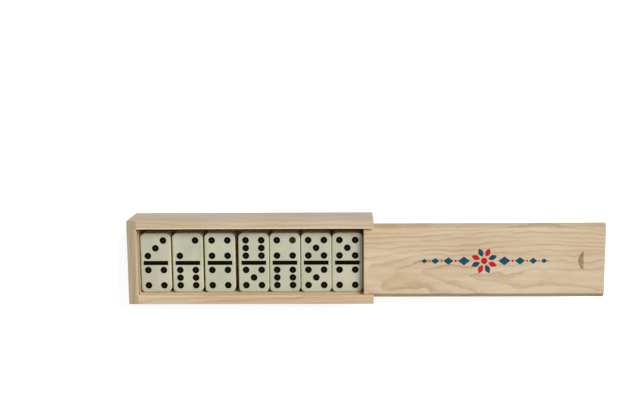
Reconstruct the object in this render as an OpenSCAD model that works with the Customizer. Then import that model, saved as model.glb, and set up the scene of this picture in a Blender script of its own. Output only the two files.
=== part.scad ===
// Wooden domino box with a sliding lid, holding one double-six set of dominoes.
// +X runs along the box to its low end, +Y across it, +Z up. The origin is the middle of the box's underside.

/* [Dominoes] */
// Length of a domino
tile_l = 37.9; // [30:0.1:50]
// Width of a domino
tile_w = 19.2; // [17:0.1:26]
// Thickness of a domino
tile_t = 4.8; // [4:0.1:8]
// Corner radius of a domino's face
tile_corner_r = 3.5; // [1.5:0.1:4]
// Rounding of a domino's edges
tile_edge_r = 0.8; // [0.3:0.1:1.2]
// Diameter of a spot
spot_d = 4.3; // [2.5:0.1:4.6]
// Depth of a spot's round bottom
spot_depth = 0.6; // [0.2:0.1:1]
// Distance between the rows of spots
spot_pitch = 4.92; // [4.5:0.02:5.5]
// Length of the bar between the halves
bar_l = 15.6; // [10:0.1:16.5]
// Width of the bar
bar_w = 2.7; // [1:0.1:3.5]
// Depth of the bar's groove
bar_depth = 0.4; // [0.2:0.1:1]

/* [Room for the dominoes] */
// Smallest gap between neighbouring dominoes
tile_gap = 0.35; // [0.3:0.01:1.5]
// Gap between the first domino and the closed end
first_gap = 0.8; // [0.3:0.05:3]
// Gap between the last domino and the low end
last_gap = 0.3; // [0.3:0.01:3]
// Gap between the dominoes and the front side that they are pushed against
front_gap = 0.2; // [0.1:0.05:2]
// Gap between the dominoes and the back side, for a finger
back_gap = 3.9; // [0.3:0.1:6]
// Headroom between the top dominoes and the lid
headroom = 0.7; // [0.3:0.1:4]

/* [Box] */
// Thickness of the two long sides
side_t = 5.5; // [4.5:0.1:8]
// Thickness of the two end walls
end_t = 5.7; // [4.5:0.1:8]
// How far the low end wall is set in from the ends of the long sides
low_end_inset = 0.7; // [0:0.1:2]
// Width of the chamfer along the inner edge of the rim
rim_arris = 0.8; // [0.2:0.1:1.2]
// Height of that chamfer
rim_arris_h = 0.35; // [0.1:0.05:1.2]

/* [Bottom panel] */
// Thickness of the bottom panel
panel_t = 3; // [2:0.1:4]
// Depth of the rebate that holds the panel, into each wall
rebate_d = 2.5; // [1.5:0.1:3.5]
// Clearance between the panel's edge and its rebate
panel_gap = 0.1; // [0.05:0.05:0.3]

/* [Lid] */
// Thickness of the lid
lid_t = 4; // [3:0.1:5]
// Thickness left at the bevelled long edges
tongue_edge_t = 1.5; // [1:0.1:2.5]
// Depth of the grooves that the lid slides in
groove_d = 2.6; // [2:0.1:3.5]
// Clearance between the lid and its grooves
lid_gap = 0.25; // [0.1:0.05:0.5]
// Height of the rim above the grooves' mouth
lip_h = 2.85; // [2:0.05:4]
// How far the lid is drawn out past the low end's inner face, as it stands here
lid_clear_of_room = 0.4; // [0.1:0.1:2]

/* [Thumb notch] */
// Length of the notch across the lid
notch_w = 12.5; // [8:0.5:20]
// Width of the notch along the lid
notch_l = 3; // [2:0.25:5]
// Depth of the notch at its steep side
notch_d = 1.3; // [0.5:0.1:2]
// Distance of the notch's steep side from the lid's outer end
notch_from_end = 16; // [10:0.5:40]

/* [Hidden] */
// Four layers of seven dominoes, from the bottom up. Each is [spots towards +Y, spots towards -Y].
LAYERS = [
    [[0, 0], [0, 1], [1, 1], [0, 2], [1, 2], [2, 2], [0, 3]],
    [[1, 3], [2, 3], [3, 3], [0, 4], [1, 4], [2, 4], [0, 5]],
    [[1, 5], [2, 5], [3, 5], [0, 6], [1, 6], [3, 6], [6, 6]],
    [[3, 4], [2, 6], [4, 4], [6, 5], [4, 6], [5, 5], [5, 4]]
];
LAYER = [0 : len(LAYERS) - 1];
PLACE = [0 : len(LAYERS[0]) - 1];
// How much wider than tile_gap each gap along a layer stands, as the loose dominoes have settled
WIDER = [0.65, 0.75, 1.75, 0.05, 0.1, 0];
function domino_name(t) = str("domino_", min(t), "_", max(t));

curve_fn = 96;
cut = 1;                                     // how far a cutter runs past the face that it opens

pitch = tile_w + tile_gap;
function wider_before(i) = i == 0 ? 0 : wider_before(i - 1) + WIDER[i - 1];    // total up to place i
room_l = first_gap + len(LAYERS[0]) * pitch - tile_gap + wider_before(len(WIDER)) + last_gap;
room_w = front_gap + tile_l + back_gap;

inner_y = room_w / 2;                        // inner faces of the long sides
box_l = end_t + room_l + end_t + low_end_inset;
closed_x = end_t - box_l / 2;                // inner face of the closed end
low_in_x = closed_x + room_l;                // inner face of the low end
low_out_x = low_in_x + end_t;                // outer face of the low end
seat_z = panel_t + len(LAYERS) * tile_t + headroom;    // floor of the grooves, level with the low end's top
mouth_z = seat_z + lid_t + lid_gap;          // top of the grooves' mouth
box_h = mouth_z + lip_h;                     // height of the long sides and the closed end
box_w = 2 * (inner_y + side_t);

lid_reach = groove_d - lid_gap;              // how far the lid enters its grooves
lid_half_w = inner_y + lid_reach;
lid_top_half_w = inner_y - lid_gap;          // half width of the flat between the bevels
lid_l = low_out_x - closed_x + lid_reach;    // from the closed end's groove to the low end's outer face
lid_in_x = low_in_x + lid_clear_of_room;     // inner end of the drawn-out lid

first_x = closed_x + first_gap + tile_w / 2;
tile_y = front_gap + tile_l / 2 - inner_y;
spot_r = (pow(spot_d / 2, 2) + pow(spot_depth, 2)) / (2 * spot_depth);

// Extrudes a Y and Z section along X, between two places
module run_x(section, x_from, x_to) {
    translate([x_from, 0, 0]) rotate([90, 0, 90]) linear_extrude(x_to - x_from) polygon(section);
}

// Extrudes an X and Z section between the long sides
module run_between_sides(section) {
    translate([0, inner_y, 0]) rotate([90, 0, 0]) linear_extrude(2 * inner_y) polygon(section);
}

// A block along the inner faces' foot, wider than the room inside by a given reach
module foot_block(reach, z_from) {
    translate([closed_x - reach, -inner_y - reach, z_from])
        cube([low_in_x - closed_x + 2 * reach, 2 * (inner_y + reach), panel_t - z_from]);
}

// The channel that the lid slides in, with the slope of its bevels. It ends in a pocket in the closed end,
// and runs out over the low end.
module lid_channel() {
    reach = inner_y + groove_d;
    edge_z = mouth_z - lid_t + tongue_edge_t;
    section = [
        [-reach, seat_z], [reach, seat_z], [reach, edge_z],
        [inner_y, mouth_z], [-inner_y, mouth_z], [-reach, edge_z]
    ];
    run_x(section, closed_x - groove_d, box_l / 2 + cut);
}

// The closed end laps over the end of each long side
module long_side() {
    section = [
        [0, 0], [side_t, 0], [side_t, box_h], [rim_arris, box_h], [0, box_h - rim_arris_h]
    ];
    difference() {
        translate([0, inner_y, 0]) run_x(section, closed_x, box_l / 2);
        lid_channel();
        foot_block(rebate_d, -cut);
    }
}

module side_back() { color("BurlyWood") long_side(); }

module side_front() { color("BurlyWood") mirror([0, 1, 0]) long_side(); }

// Its inner edge is chamfered between the long sides
module end_closed() {
    chamfer = [
        [closed_x, box_h - rim_arris_h], [closed_x + cut, box_h - rim_arris_h], [closed_x + cut, box_h + cut],
        [closed_x - rim_arris, box_h + cut], [closed_x - rim_arris, box_h]
    ];
    color("Tan")
        difference() {
            translate([-box_l / 2, -box_w / 2, 0]) cube([end_t, box_w, box_h]);
            run_between_sides(chamfer);
            lid_channel();
            foot_block(rebate_d, -cut);
        }
}

// The lid slides out over this end's top
module end_low() {
    color("Tan")
        difference() {
            translate([low_in_x, -inner_y, 0]) cube([end_t, 2 * inner_y, seat_z]);
            foot_block(rebate_d, -cut);
        }
}

module bottom_panel() { color("Wheat") foot_block(rebate_d - panel_gap, 0); }

// A scoop with one round, steep side and a floor that rises from it to the lid's top
module thumb_notch() {
    r = (pow(notch_w / 2, 2) + pow(notch_l, 2)) / (2 * notch_l);
    slope = atan(notch_d / notch_l);
    translate([lid_l - notch_from_end + notch_l, 0, lid_t])
        rotate([0, -slope, 0])
            translate([r - notch_l / cos(slope), 0, 0])
                cylinder(r = r, h = lid_t, $fn = curve_fn);
}

module lid() {
    section = [
        [-lid_half_w, 0], [lid_half_w, 0], [lid_half_w, tongue_edge_t],
        [lid_top_half_w, lid_t], [-lid_top_half_w, lid_t], [-lid_half_w, tongue_edge_t]
    ];
    color("NavajoWhite")
        translate([lid_in_x, 0, seat_z])
            difference() {
                rotate([90, 0, 90]) linear_extrude(lid_l) polygon(section);
                thumb_notch();
            }
}

// A rectangle with true round corners, centred
module rounded_rect(w, l, r) {
    square([w - 2 * r, l], center = true);
    square([w, l - 2 * r], center = true);
    for (x = [-1, 1], y = [-1, 1])
        translate([x * (w / 2 - r), y * (l / 2 - r)]) circle(r = r, $fn = curve_fn);
}

// A domino without its spots, centred on its middle
module tile_blank() {
    intersection() {
        translate([0, 0, -tile_t / 2])
            linear_extrude(tile_t) rounded_rect(tile_w, tile_l, tile_corner_r);
        translate([0, (tile_l + cut) / 2, 0])
            rotate([90, 0, 0]) linear_extrude(tile_l + cut) rounded_rect(tile_w, tile_t, tile_edge_r);
        translate([-(tile_w + cut) / 2, 0, 0])
            rotate([90, 0, 90]) linear_extrude(tile_w + cut) rounded_rect(tile_l, tile_t, tile_edge_r);
    }
}

// Places of a number's spots in its half, in steps of spot_pitch
function spots(n) = [
    for (p = [[-1, -1], [1, 1]]) if (n > 1) p,
    for (p = [[-1, 1], [1, -1]]) if (n > 3) p,
    for (p = [[-1, 0], [1, 0]]) if (n == 6) p,
    if (n % 2 == 1) [0, 0]
];

module half_spots(n) {
    for (p = spots(n))
        translate([p[0] * spot_pitch, p[1] * spot_pitch, tile_t / 2 - spot_depth + spot_r])
            sphere(r = spot_r, $fn = curve_fn);
}

module domino(t) {
    color("Ivory")
        difference() {
            tile_blank();
            translate([0, tile_l / 4, 0]) half_spots(t[0]);
            translate([0, -tile_l / 4, 0]) half_spots(t[1]);
            translate([-bar_l / 2, -bar_w / 2, tile_t / 2 - bar_depth]) cube([bar_l, bar_w, cut]);
        }
}

module domino_in_place(k, i) {
    translate([first_x + i * pitch + wider_before(i), tile_y, panel_t + (k + 0.5) * tile_t]) domino(LAYERS[k][i]);
}

bottom_panel();
side_front();
side_back();
end_closed();
end_low();
lid();
for (k = LAYER, i = PLACE)
    domino_in_place(k, i);
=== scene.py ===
"""Looks for the wooden domino box: pine boards with their grain, and dominoes of ivory-coloured plastic.

Everything is in metres, in the CAD model's frame: +X runs to the box's low end, +Y across it, +Z up.
"""
import math

import bmesh
import bpy
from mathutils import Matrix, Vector


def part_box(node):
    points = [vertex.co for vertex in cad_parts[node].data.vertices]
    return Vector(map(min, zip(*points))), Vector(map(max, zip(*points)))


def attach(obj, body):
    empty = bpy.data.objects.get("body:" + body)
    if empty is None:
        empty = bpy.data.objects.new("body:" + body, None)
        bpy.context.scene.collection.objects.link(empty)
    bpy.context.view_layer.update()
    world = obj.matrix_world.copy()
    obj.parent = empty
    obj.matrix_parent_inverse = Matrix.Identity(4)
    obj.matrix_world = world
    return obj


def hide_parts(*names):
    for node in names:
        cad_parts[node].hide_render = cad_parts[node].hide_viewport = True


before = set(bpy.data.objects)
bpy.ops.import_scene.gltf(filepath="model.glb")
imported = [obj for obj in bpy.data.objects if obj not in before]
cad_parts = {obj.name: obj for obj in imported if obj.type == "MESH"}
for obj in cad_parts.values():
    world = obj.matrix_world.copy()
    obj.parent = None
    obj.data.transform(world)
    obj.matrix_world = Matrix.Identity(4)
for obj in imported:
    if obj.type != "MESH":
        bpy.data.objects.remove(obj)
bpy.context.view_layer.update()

MM = 0.001

# Camera
CAMERA_PLACE = (58.205 * MM, 130.189 * MM, 620.535 * MM)
CAMERA_TURN = (-8.7758, 1.3518, -0.4496)     # degrees about X, Y and Z, from looking straight down
CAMERA_LENS = 54.828                         # mm, on a sensor 36 mm wide

# Light
WHITE = (1, 1, 1, 1)
WORLD_FILL = 0.38                            # strength of the world's light on the object
KEY_FROM = (0.85, 0.72, 1.08)                # direction that the key light comes from
KEY_STRENGTH = 2.8
KEY_SPREAD = 28                              # degrees, for soft shadows

# Floor
FLOOR_SIZE = 12.0
FLOOR_DROP = 0.1 * MM                        # how far it lies under the box, so that their faces don't meet
FLOOR_LIFT = 0.74                            # how much brighter camera, mirror and glass rays see it

# Dominoes, as in the CAD model
TILE_T = 4.8 * MM
LAYERS_START = 3 * MM                        # the bottom panel's top, which carries the first layer
SPOT_PITCH = 4.92 * MM
HALF_CENTRE = 37.9 / 4 * MM                  # distance of a half's middle from the domino's
PAINTED_HALF_W = 8.2 * MM                    # spots and bar lie within this half width and half length
PAINTED_HALF_L = 17.4 * MM
SUNK_LEAST = 0.005 * MM                      # a painted face reaches down between these two depths
SUNK_MOST = 1 * MM
HIGHLIGHT_FROM = 0.54 * MM                        # a painted highlight at a dimple's bottom starts at this depth, and is full at this one
HIGHLIGHT_BY = 0.60 * MM                          # and is worn most at this one
FADED_DOMINO = "domino_4_6"                  # its corner spot towards +X and +Y has lost most of its paint

# Wooden pieces, as in the CAD model
CHAMFER_UP = 0.916                           # how far the rim's chamfer faces up, as its normal's Z
BEVEL_UP = 0.721                             # how far the lid's bevels face up
NOTCH_FROM_END = 14.5 * MM                   # from the lid's outer end to the thumb notch's middle
NOTCH_REACH = 8 * MM                         # the notch lies within this of its middle
NOTCH_DEPTH = 1.5 * MM                       # and is less deep than this

# Edges of the wooden pieces
EASED = 0.25 * MM                            # how far the sharp ones are rounded
EASED_STEPS = 3                              # faces across a rounding
LONG_EDGE = 4 * MM                           # shorter edges are left as they are
SHARP_ANGLE = math.radians(20)               # an edge that turns more is sharp
SHADED_SHARP = math.radians(35)              # an edge that turns more isn't shaded smooth
FLAT_ANGLE = math.radians(1)                 # faces that turn less are one face
SAME_POINT = 0.001 * MM
AT_JOINT = 0.01 * MM                         # an edge this close to the glued joint lies on it

# Print on the lid
INK_SUNK = 0.02 * MM                         # how deep the coat starts in the wood
INK_COAT = 0.05 * MM                         # how thick it is
HEART_R = 2.0 * MM                           # the disc in the lid's middle
PETALS = 8
PETAL_START = 2.7 * MM                       # from the lid's middle
PETAL_L = 5.8 * MM
PETAL_W = 3.2 * MM
LOZENGE_SIZES = (1.0, 0.85, 0.7, 0.55)       # the lozenges taper off outwards, as shares of the first
LOZENGE_START = 12.5 * MM                    # from the lid's middle to the first one's middle
LOZENGE_STEP = 9.6 * MM                      # from its middle to the next one's
LOZENGE_L = 7.5 * MM
LOZENGE_W = 5.6 * MM
DOT_OFF = 5.1 * MM                           # from a lozenge's middle to the dot beyond it
DOT_R = 0.75 * MM


def srgb(red, green, blue):
    """A colour of 0 to 255 as Blender's linear colour."""
    def linear(value):
        value /= 255
        return value / 12.92 if value <= 0.04045 else ((value + 0.055) / 1.055) ** 2.4
    return linear(red), linear(green), linear(blue), 1.0


# ---------------------------------------------------------------- shader helpers

class Shader:
    """A material whose nodes are added one call at a time."""

    def __init__(self, name):
        self.material = bpy.data.materials.new(name)
        self.material.use_nodes = True
        self.tree = self.material.node_tree
        self.surface = self.tree.nodes["Principled BSDF"]

    def feed(self, node, inputs):
        """Sets a node's inputs, each to a value or to another node's output."""
        for key, value in inputs.items():
            if isinstance(value, bpy.types.NodeSocket):
                self.tree.links.new(value, node.inputs[key])
            else:
                node.inputs[key].default_value = value

    def add(self, kind, inputs, output=0, **settings):
        """Adds a node and returns one of its outputs."""
        node = self.tree.nodes.new("ShaderNode" + kind)
        for key, value in settings.items():
            setattr(node, key, value)
        self.feed(node, inputs)
        return node.outputs[output]

    def place(self):
        """The point on the piece, as it stands at rest."""
        return self.add("TexCoord", {}, "Object")

    def place_mm(self, turn=(0, 0, 0)):
        """The same point in millimetres."""
        return self.mapped(self.place(), turn=turn, scale=(1 / MM, 1 / MM, 1 / MM))

    def facing(self):
        """The way that the surface looks, as the piece stands at rest."""
        return self.add("TexCoord", {}, "Normal")

    def axis(self, vector, name):
        """A vector's X, Y or Z."""
        return self.add("SeparateXYZ", {0: vector}, name)

    def mapped(self, vector, shift=(0, 0, 0), turn=(0, 0, 0), scale=(1, 1, 1)):
        """A vector scaled, then turned, then shifted."""
        return self.add("Mapping", {"Vector": vector, "Location": shift, "Rotation": turn, "Scale": scale})

    def noise(self, vector, scale, seed=0.0, detail=2.0, output="Fac"):
        """Noise whose features are as long as 1 / scale along each axis."""
        stretched = self.mapped(vector, scale=scale)
        return self.add("TexNoise", {"Vector": stretched, "W": seed, "Scale": 1.0, "Detail": detail},
                        output, noise_dimensions="4D")

    def wander(self, vector, scale, seed, reach):
        """A shift to and fro along Y and Z, by up to half of reach each way."""
        shift = self.noise(vector, scale, seed, 2, "Color")
        shift = self.vector_math("SUBTRACT", shift, (0.5, 0.5, 0.5))
        return self.vector_math("MULTIPLY", shift, (0, reach, reach))

    def math(self, operation, first, second=0.0):
        return self.add("Math", {0: first, 1: second}, operation=operation)

    def vector_math(self, operation, first, second=(0, 0, 0), output="Vector"):
        return self.add("VectorMath", {0: first, 1: second}, output, operation=operation)

    def ranged(self, value, low, high, to_low=0.0, to_high=1.0):
        """Maps a value from one range onto another, and holds it there."""
        return self.add("MapRange", {0: value, 1: low, 2: high, 3: to_low, 4: to_high}, clamp=True)

    def near(self, value, target, full, none):
        """1 where a value lies within full of a target, falling to 0 at none."""
        away = self.math("ABSOLUTE", self.math("SUBTRACT", value, target))
        return self.ranged(away, full, none, 1.0, 0.0)

    def mix(self, factor, first, second, blend="MIX"):
        """Mixes two colours."""
        return self.add("Mix", {0: factor, 6: first, 7: second}, 2, data_type="RGBA", blend_type=blend)

    def curve(self, value, stops):
        """A smooth curve through stops of (value, height), as a grey."""
        ramp = self.tree.nodes.new("ShaderNodeValToRGB")
        ramp.color_ramp.interpolation = "EASE"
        elements = ramp.color_ramp.elements
        while len(elements) < len(stops):
            elements.new(0.5)
        for element, (position, height) in zip(elements, stops):
            element.position = position
            element.color = (height, height, height, 1)
        self.tree.links.new(value, ramp.inputs[0])
        return ramp.outputs["Color"]

    def bump(self, height, distance, strength):
        """Makes the surface look uneven, by distance for each 1 of height."""
        normal = self.add("Bump", {"Height": height, "Distance": distance, "Strength": strength})
        self.feed(self.surface, {"Normal": normal})


# ---------------------------------------------------------------- materials

SWAY = 12                                    # how far the rings stray over a board's length, in millimetres

# Tints, which multiply the wood's colour; the last one is painted shade
NEUTRAL = WHITE
END_GRAIN = srgb(229, 216, 203)
DULL_PATCH = srgb(238, 226, 206)
# painted shade on the lid's bevels
BEVEL_SHADE = srgb(224, 218, 208)

# Colours that the wood takes in places, and a painted highlight and a painted shade
DARK_FIBRE = srgb(172, 142, 108)
OPEN_PORE = srgb(126, 94, 62)
# painted highlight on the rim's inner chamfer, where the light catches it
CHAMFER_HIGHLIGHT = srgb(246, 230, 202)
# painted shade in the lid's thumb notch
NOTCH_SHADE = srgb(118, 92, 54)


def pine(name, pale, late, pith, tilt=(0, 0), across=False, ring=2.6, flutter=2.0, highlight_share=0.5, level=NEUTRAL,
         outer=NEUTRAL, inner=NEUTRAL, ends=END_GRAIN, seed=0.0):
    """Sawn and sanded pine. The rings lie round the log's pith, a line that passes the board at pith
    (millimetres across and up from the box's middle) and leans by tilt (degrees) along the grain.
    ring is the growth of a year, and flutter how far the rings waver, in millimetres. The share after flutter
    is how much paler the faces that slant inwards like the rim's chamfer are made, a painted highlight.
    level, outer, inner and ends tint the level faces, the upright ones along the grain that look outwards and
    inwards, and those across it; outer is painted shade and inner painted light where they are not white."""
    shader = Shader(name)
    quarter_turn = math.radians(-90) if across else 0
    board = shader.place_mm(turn=(0, 0, quarter_turn))
    log = shader.mapped(board, shift=(0, -pith[0], -pith[1]),
                        turn=(0, math.radians(tilt[1]), math.radians(tilt[0])))
    sway = shader.wander(log, (0.009, 0.03, 0.03), seed, SWAY)
    waver = shader.wander(log, (0.055, 0.12, 0.12), seed + 3, flutter)
    bent = shader.vector_math("ADD", shader.vector_math("ADD", log, sway), waver)
    bent = shader.vector_math("MULTIPLY", bent, (0, 1, 1))
    from_pith = shader.vector_math("LENGTH", bent, output="Value")
    year = shader.math("FRACT", shader.math("DIVIDE", from_pith, ring))
    latewood = shader.curve(year, [(0.0, 0.0), (0.45, 0.12), (0.80, 0.75), (0.90, 1.0), (1.0, 0.0)])
    strength = shader.ranged(shader.noise(log, (0.02, 0.12, 0.12), seed + 5), 0.3, 0.7, 0.25, 1.0)
    rings = shader.math("MULTIPLY", latewood, strength)

    fibre = shader.noise(board, (0.035, 2.2, 2.2), seed + 7, 4)
    streak = shader.noise(board, (0.012, 0.35, 0.35), seed + 9, 3)
    pore = shader.ranged(shader.noise(board, (0.16, 3.2, 3.2), seed + 11, 1), 0.66, 0.74)
    cloud = shader.noise(board, (0.02, 0.06, 0.06), seed + 13, 2)

    colour = shader.mix(shader.math("MULTIPLY", rings, 0.85), pale, late)
    colour = shader.mix(shader.ranged(streak, 0.3, 0.75, 0.0, 0.32), colour, late)
    colour = shader.mix(shader.ranged(fibre, 0.35, 0.75, 0.0, 0.30), colour, DARK_FIBRE)
    colour = shader.mix(shader.math("MULTIPLY", pore, 0.35), colour, OPEN_PORE)
    colour = shader.mix(shader.ranged(cloud, 0.35, 0.7, 0.0, 0.5), colour, DULL_PATCH, "MULTIPLY")
    crossing, standing, outward, highlit_chamfer = facings(shader, quarter_turn)
    # tints for upright faces: painted shade outside and painted light inside, where they are not white
    upright = shader.mix(outward, inner, outer)
    tint = shader.mix(crossing, shader.mix(standing, level, upright), ends)
    colour = shader.mix(1.0, colour, tint, "MULTIPLY")
    # the faces that slant inwards like the chamfer are made paler: a painted highlight
    colour = shader.mix(shader.math("MULTIPLY", highlit_chamfer, highlight_share), colour, CHAMFER_HIGHLIGHT)
    roughness = shader.ranged(fibre, 0.3, 0.7, 0.52, 0.68)
    shader.feed(shader.surface, {"Base Color": colour, "Roughness": roughness, "Specular IOR Level": 0.3})
    height = shader.math("ADD", shader.math("MULTIPLY", fibre, 0.6), shader.math("MULTIPLY", rings, 0.4))
    height = shader.math("SUBTRACT", height, shader.math("MULTIPLY", pore, 0.5))
    shader.bump(height, 0.08 * MM, 0.35)
    return shader


def facings(shader, quarter_turn):
    """How far a face cuts across the grain, stands upright, looks out of the box, and slants inwards like
    the rim's chamfer, each from 0 to 1. The last one masks the painted highlight."""
    facing = shader.facing()
    normal = shader.mapped(facing, turn=(0, 0, quarter_turn))
    along = shader.math("ABSOLUTE", shader.axis(normal, "X"))
    crossing = shader.ranged(along, 0.7, 0.95)
    up = shader.axis(normal, "Z")
    standing = shader.near(up, 0.0, 0.2, 0.6)
    level_place = shader.vector_math("MULTIPLY", shader.place(), (1, 1, 0))
    outward = shader.vector_math("DOT_PRODUCT", level_place, facing, output="Value")
    outward = shader.math("GREATER_THAN", outward, 0.0)
    highlit_chamfer = shader.near(up, CHAMFER_UP, 0.03, 0.06)
    highlit_chamfer = shader.math("MULTIPLY", highlit_chamfer, shader.math("SUBTRACT", 1.0, outward))
    return crossing, standing, outward, highlit_chamfer


def ivory_plastic():
    """Cast plastic: nearly even, with faint clouds and a satin polish, and a painted highlight on its rounded
    edges and sides.
    """
    shader = Shader("ivory_plastic")
    place = shader.place_mm()
    cloud = shader.noise(place, (0.09, 0.05, 0.09), 1, 3)
    speck = shader.ranged(shader.noise(place, (1.6, 1.6, 1.6), 4, 2), 0.62, 0.75)
    colour = shader.mix(shader.ranged(cloud, 0.35, 0.65), srgb(196, 195, 170), srgb(182, 182, 158))
    colour = shader.mix(shader.math("MULTIPLY", speck, 0.12), colour, srgb(160, 152, 116))
    up = shader.axis(shader.facing(), "Z")
    # painted highlight on the rounded edges and the sides
    rounding = shader.ranged(shader.math("ABSOLUTE", up), 0.6, 0.97, 0.8, 0.0)
    colour = shader.mix(rounding, colour, srgb(224, 213, 177))
    roughness = shader.ranged(shader.noise(place, (0.4, 0.4, 0.4), 8, 3), 0.3, 0.7, 0.26, 0.38)
    shader.feed(shader.surface, {"Base Color": colour, "Roughness": roughness})
    shader.bump(shader.noise(place, (0.5, 0.5, 0.5), 12, 3), 0.03 * MM, 0.25)
    return shader.material


def spot_paint(name, body, worn_and_highlight):
    """Glossy enamel in the dimples and the bar, uneven where it is thin, with a painted highlight at the
    dimples' bottoms.
    """
    shader = Shader(name)
    place = shader.place_mm()
    thin = shader.noise(place, (1.1, 1.1, 1.1), 2, 3)
    height = shader.math("SUBTRACT", shader.axis(place, "Z"), LAYERS_START / MM)
    in_layer = shader.math("MODULO", height, TILE_T / MM)
    depth = shader.math("SUBTRACT", TILE_T / MM, in_layer)
    # painted highlight at the bottom of each dimple
    bottom = shader.ranged(depth, HIGHLIGHT_FROM / MM, HIGHLIGHT_BY / MM)
    uneven = shader.ranged(thin, 0.5, 0.8, 0.0, 0.25)
    colour = shader.mix(shader.math("MAXIMUM", uneven, bottom), body, worn_and_highlight)
    roughness = shader.ranged(thin, 0.3, 0.7, 0.25, 0.42)
    shader.feed(shader.surface, {"Base Color": colour, "Roughness": roughness, "Specular IOR Level": 0.03})
    shader.bump(thin, 0.04 * MM, 0.3)
    return shader.material


def ink(name, colour, dry):
    """Ink printed on the wood, with the fibres showing through."""
    shader = Shader(name)
    fibre = shader.noise(shader.place_mm(), (0.06, 2.4, 2.4), 3, 4)
    tint = shader.mix(shader.ranged(fibre, 0.45, 0.8, 0.0, 0.45), colour, dry)
    roughness = shader.ranged(fibre, 0.3, 0.7, 0.42, 0.6)
    shader.feed(shader.surface, {"Base Color": tint, "Roughness": roughness, "Specular IOR Level": 0.15})
    shader.bump(fibre, 0.05 * MM, 0.3)
    return shader.material


# ---------------------------------------------------------------- wooden pieces

def glued_flush(edge):
    """Whether an edge stands upright where a long side meets the closed end, and was sanded flush with it."""
    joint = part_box("side_back")[0].x
    first, second = (vert.co for vert in edge.verts)
    off_joint = max(abs(first.x - joint), abs(second.x - joint))
    return off_joint < AT_JOINT and abs(first.z - second.z) > LONG_EDGE


def eased_board(node, material):
    """A copy of a wooden node with its long sharp edges rounded, which stands for the node."""
    mesh = bmesh.new()
    mesh.from_mesh(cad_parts[node].data)
    bmesh.ops.remove_doubles(mesh, verts=mesh.verts, dist=SAME_POINT)
    bmesh.ops.dissolve_limit(mesh, angle_limit=FLAT_ANGLE, verts=mesh.verts, edges=mesh.edges)
    mesh.normal_update()
    sharp = [edge for edge in mesh.edges
             if edge.is_manifold and edge.is_convex and edge.calc_length() > LONG_EDGE
             and edge.calc_face_angle() > SHARP_ANGLE and not glued_flush(edge)]
    bmesh.ops.bevel(mesh, geom=sharp, offset=EASED, segments=EASED_STEPS, profile=0.5, affect="EDGES",
                    clamp_overlap=True)
    for face in mesh.faces:
        face.smooth = True
    for edge in mesh.edges:
        edge.smooth = edge.is_manifold and edge.calc_face_angle() < SHADED_SHARP
    data = bpy.data.meshes.new(node + "_board")
    mesh.to_mesh(data)
    mesh.free()
    data.materials.append(material)
    board = bpy.data.objects.new(node + "_board", data)
    bpy.context.scene.collection.objects.link(board)
    normals = board.modifiers.new("normals", "WEIGHTED_NORMAL")
    normals.keep_sharp = True
    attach(board, "lid" if node == "lid" else "box")
    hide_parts(node)


def lid_pine():
    """The lid's pine, with uneven painted shade in the thumb notch's hollow and painted shade on the
    bevels that slide in the grooves."""
    shader = pine("lid_pine", srgb(225, 207, 180), srgb(182, 153, 118), pith=(-9, -4), tilt=(1.2, 2.0),
                  ring=2.2, flutter=4.0, highlight_share=0.0, seed=2)
    outer_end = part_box("lid")[1]
    depth = shader.math("SUBTRACT", outer_end.z, shader.axis(shader.place(), "Z"))
    notch_middle = (outer_end.x - NOTCH_FROM_END, 0, outer_end.z)
    away = shader.vector_math("DISTANCE", shader.place(), notch_middle, output="Value")
    inside = shader.math("MULTIPLY", shader.math("LESS_THAN", away, NOTCH_REACH),
                         shader.math("LESS_THAN", depth, NOTCH_DEPTH))
    # the notch's hollow is darkened, more where it is deeper and unevenly: painted shade
    notch_shade_share = shader.math("MULTIPLY", shader.ranged(depth, 0.03 * MM, 0.3 * MM), inside)
    torn = shader.noise(shader.place_mm(), (1, 1.5, 1.5), 17, 3)
    notch_shade_share = shader.math("MULTIPLY", notch_shade_share, shader.ranged(torn, 0.38, 0.62, 0.1, 0.75))
    bare = shader.surface.inputs["Base Color"].links[0].from_socket
    colour = shader.mix(notch_shade_share, bare, NOTCH_SHADE)
    up = shader.axis(shader.facing(), "Z")
    # the bevels are darkened: painted shade
    bevel_shade_mask = shader.near(up, BEVEL_UP, 0.06, 0.14)
    colour = shader.mix(bevel_shade_mask, colour, shader.mix(1.0, colour, BEVEL_SHADE, "MULTIPLY"))
    shader.feed(shader.surface, {"Base Color": colour})
    return shader.material


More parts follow.
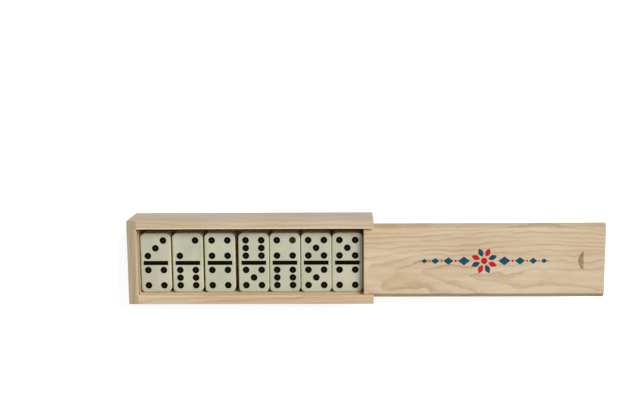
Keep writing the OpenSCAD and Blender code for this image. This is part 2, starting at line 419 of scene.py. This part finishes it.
def build_boards():
    """Each board comes from its own place in a log. The back side's outer faces carry painted shade, and the
    inner faces of the back side, the front side and the closed end carry painted light; the closed end is
    also darker on its level faces, and end grain has a tint of its own.
    """
    boards = {
        "bottom_panel": pine("panel_pine", srgb(218, 199, 170), srgb(186, 157, 122),
                             pith=(-20, 40), tilt=(2, 1), seed=31),
        # outer faces' tint is painted shade, inner faces' tint painted warm light, and the chamfer takes the
        # full painted highlight
        "side_back": pine("back_pine", srgb(214, 196, 167), srgb(184, 156, 122),
                          pith=(66, 44), tilt=(1, 1), highlight_share=1.0,
                          outer=srgb(224, 228, 240), inner=srgb(255, 243, 222), seed=8),
        # inner faces' tint is painted light
        "side_front": pine("front_pine", srgb(214, 194, 163), srgb(184, 152, 116),
                           pith=(-62, -14), tilt=(-1, 1), highlight_share=0.1, inner=(1.15, 1.15, 1.13, 1), seed=14),
        # inner face's tint is painted light, and the level faces are tinted darker
        "end_closed": pine("closed_pine", srgb(226, 209, 177), srgb(191, 164, 129),
                           pith=(88, 30), tilt=(3, 2), across=True, highlight_share=0.1, level=srgb(207, 208, 207),
                           inner=(1.22, 1.21, 1.16, 1), ends=srgb(214, 214, 220), seed=20),
        "end_low": pine("low_pine", srgb(218, 194, 160), srgb(188, 156, 120),
                        pith=(-92, -14), tilt=(-3, 2), across=True, seed=26),
    }
    for node, shader in boards.items():
        eased_board(node, shader.material)
    eased_board("lid", lid_pine())


# ---------------------------------------------------------------- lid print

def lens_shape(middle, length, width, angle):
    """Outline of a pointed oval, lying outwards from middle at an angle."""
    steps = 14
    along = Vector((math.cos(angle), math.sin(angle)))
    side = Vector((-along.y, along.x))
    half = [(i / steps * length, math.sin(math.pi * i / steps) * width / 2) for i in range(steps + 1)]
    outline = half + [(x, -y) for x, y in reversed(half[1:-1])]
    return [Vector(middle) + along * x + side * y for x, y in outline]


def disc(middle, radius):
    steps = 40
    turns = [2 * math.pi * i / steps for i in range(steps)]
    return [Vector(middle) + Vector((math.cos(a), math.sin(a))) * radius for a in turns]


def lozenge(middle, length, width):
    x, y = length / 2, width / 2
    return [Vector(middle) + Vector(corner) for corner in ((-x, 0), (0, -y), (x, 0), (0, y))]


def rosette(middle):
    """Outlines of the petals round a middle."""
    petals = []
    for i in range(PETALS):
        angle = math.radians(360 / PETALS * (i + 0.5))
        start = middle + Vector((math.cos(angle), math.sin(angle))) * PETAL_START
        petals.append(lens_shape(start, PETAL_L, PETAL_W, angle))
    return petals


def print_shapes(name, outlines, material):
    """Flat shapes of ink, as thick as a coat, on the lid's top."""
    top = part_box("lid")[1].z
    mesh = bmesh.new()
    for outline in outlines:
        face = mesh.faces.new([mesh.verts.new((p.x, p.y, top - INK_SUNK)) for p in outline])
        raised = bmesh.ops.extrude_face_region(mesh, geom=[face])["geom"]
        moved = [v for v in raised if isinstance(v, bmesh.types.BMVert)]
        bmesh.ops.translate(mesh, vec=(0, 0, INK_COAT), verts=moved)
    bmesh.ops.recalc_face_normals(mesh, faces=mesh.faces)
    data = bpy.data.meshes.new(name)
    mesh.to_mesh(data)
    mesh.free()
    data.materials.append(material)
    shape = bpy.data.objects.new(name, data)
    bpy.context.scene.collection.objects.link(shape)
    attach(shape, "lid")


def build_lid_print():
    """A plain ornament: a rosette in the middle of the lid, and lozenges that taper off to both sides."""
    low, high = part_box("lid")
    middle = Vector(((low.x + high.x) / 2, 0))
    petals = rosette(middle)
    red = petals[1::2] + [disc(middle, HEART_R)]
    teal = petals[0::2]
    reach = LOZENGE_START
    for size in LOZENGE_SIZES:
        for side in (-1, 1):
            teal.append(lozenge(middle + Vector((side * reach, 0)), LOZENGE_L * size, LOZENGE_W * size))
            red.append(disc(middle + Vector((side * (reach + DOT_OFF * size), 0)), DOT_R * size))
        reach += LOZENGE_STEP * size
    print_shapes("lid_print_red", red, ink("red_ink", srgb(190, 12, 34), srgb(204, 76, 70)))
    print_shapes("lid_print_teal", teal, ink("teal_ink", srgb(6, 66, 88), srgb(62, 108, 116)))


# ---------------------------------------------------------------- dominoes

def paint_domino(node, plastic, paint, faded):
    """Gives the faces in a domino's dimples and bar their paint, and the rest the plastic."""
    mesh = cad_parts[node].data
    low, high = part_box(node)
    middle = (low + high) / 2
    faded_spot = Vector((middle.x + SPOT_PITCH, middle.y + HALF_CENTRE + SPOT_PITCH))
    mesh.materials.clear()
    for material in (plastic, paint, faded):
        mesh.materials.append(material)
    for face in mesh.polygons:
        lowest = min(mesh.vertices[i].co.z for i in face.vertices)
        sunk = high.z - SUNK_MOST < lowest < high.z - SUNK_LEAST
        off = face.center - middle
        painted = sunk and abs(off.x) < PAINTED_HALF_W and abs(off.y) < PAINTED_HALF_L
        worn_and_highlight = node == FADED_DOMINO and (face.center.to_2d() - faded_spot).length < SPOT_PITCH / 2
        face.material_index = (2 if worn_and_highlight else 1) if painted else 0


def build_dominoes():
    """The dominoes are the CAD solids themselves, and only take their materials here."""
    plastic = ivory_plastic()
    # the second colour is for thin paint and for the painted highlight at the dimples' bottoms
    paint = spot_paint("black_enamel", srgb(6, 5, 2), srgb(54, 50, 28))
    faded = spot_paint("worn_enamel", srgb(40, 38, 15), srgb(76, 74, 44))
    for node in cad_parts:
        if node.startswith("domino_"):
            paint_domino(node, plastic, paint, faded)


# ---------------------------------------------------------------- scene

def picture_rays(tree):
    """1 for camera, mirror and glass rays, which show the white studio, and 0 for rays that light the box."""
    rays = tree.nodes.new("ShaderNodeLightPath")
    seen = rays.outputs["Is Camera Ray"]
    for name in ("Is Glossy Ray", "Is Transmission Ray"):
        either = tree.nodes.new("ShaderNodeMath")
        either.operation = "MAXIMUM"
        tree.links.new(seen, either.inputs[0])
        tree.links.new(rays.outputs[name], either.inputs[1])
        seen = either.outputs[0]
    return seen


def build_floor():
    """A white floor. The picture's rays see it a little brighter, so that only the shadow stays grey."""
    shader = Shader("floor_white")
    lift = shader.math("MULTIPLY", picture_rays(shader.tree), FLOOR_LIFT)
    cloud = shader.noise(shader.place(), (40, 40, 40), 0, 3)
    tone = shader.mix(cloud, srgb(208, 208, 208), srgb(212, 212, 212))
    shader.feed(shader.surface, {"Base Color": tone, "Roughness": 0.9, "Specular IOR Level": 0.1,
                                 "Emission Color": WHITE, "Emission Strength": lift})
    bpy.ops.mesh.primitive_plane_add(size=FLOOR_SIZE, location=(0, 0, -FLOOR_DROP))
    floor = bpy.context.object
    floor.name = "floor"
    floor.data.materials.append(shader.material)


def build_world():
    """White to the camera and to mirror and glass rays, and a plain soft fill to the object."""
    world = bpy.data.worlds.new("studio")
    world.use_nodes = True
    tree = world.node_tree
    background = tree.nodes["Background"]
    background.inputs["Color"].default_value = WHITE
    strength = tree.nodes.new("ShaderNodeMapRange")
    strength.inputs["To Min"].default_value = WORLD_FILL
    strength.inputs["To Max"].default_value = 1.0
    tree.links.new(picture_rays(tree), strength.inputs["Value"])
    tree.links.new(strength.outputs[0], background.inputs["Strength"])
    bpy.context.scene.world = world


def build_key_light():
    """One large, far light, so that the floor is lit evenly all the way out."""
    data = bpy.data.lights.new("key", "SUN")
    data.energy = KEY_STRENGTH
    data.angle = math.radians(KEY_SPREAD)
    key = bpy.data.objects.new("key", data)
    key.rotation_euler = Vector(KEY_FROM).to_track_quat("Z", "Y").to_euler()
    bpy.context.scene.collection.objects.link(key)


def build_camera():
    """Looks almost straight down on the box."""
    data = bpy.data.cameras.new("camera")
    data.sensor_width = 36
    data.lens = CAMERA_LENS
    data.clip_start = 0.01
    camera = bpy.data.objects.new("camera", data)
    camera.location = CAMERA_PLACE
    camera.rotation_euler = [math.radians(angle) for angle in CAMERA_TURN]
    bpy.context.scene.collection.objects.link(camera)
    bpy.context.scene.camera = camera


build_camera()
build_world()
build_key_light()
build_floor()
build_boards()
build_lid_print()
build_dominoes()
bpy.context.scene.view_settings.view_transform = "Standard"
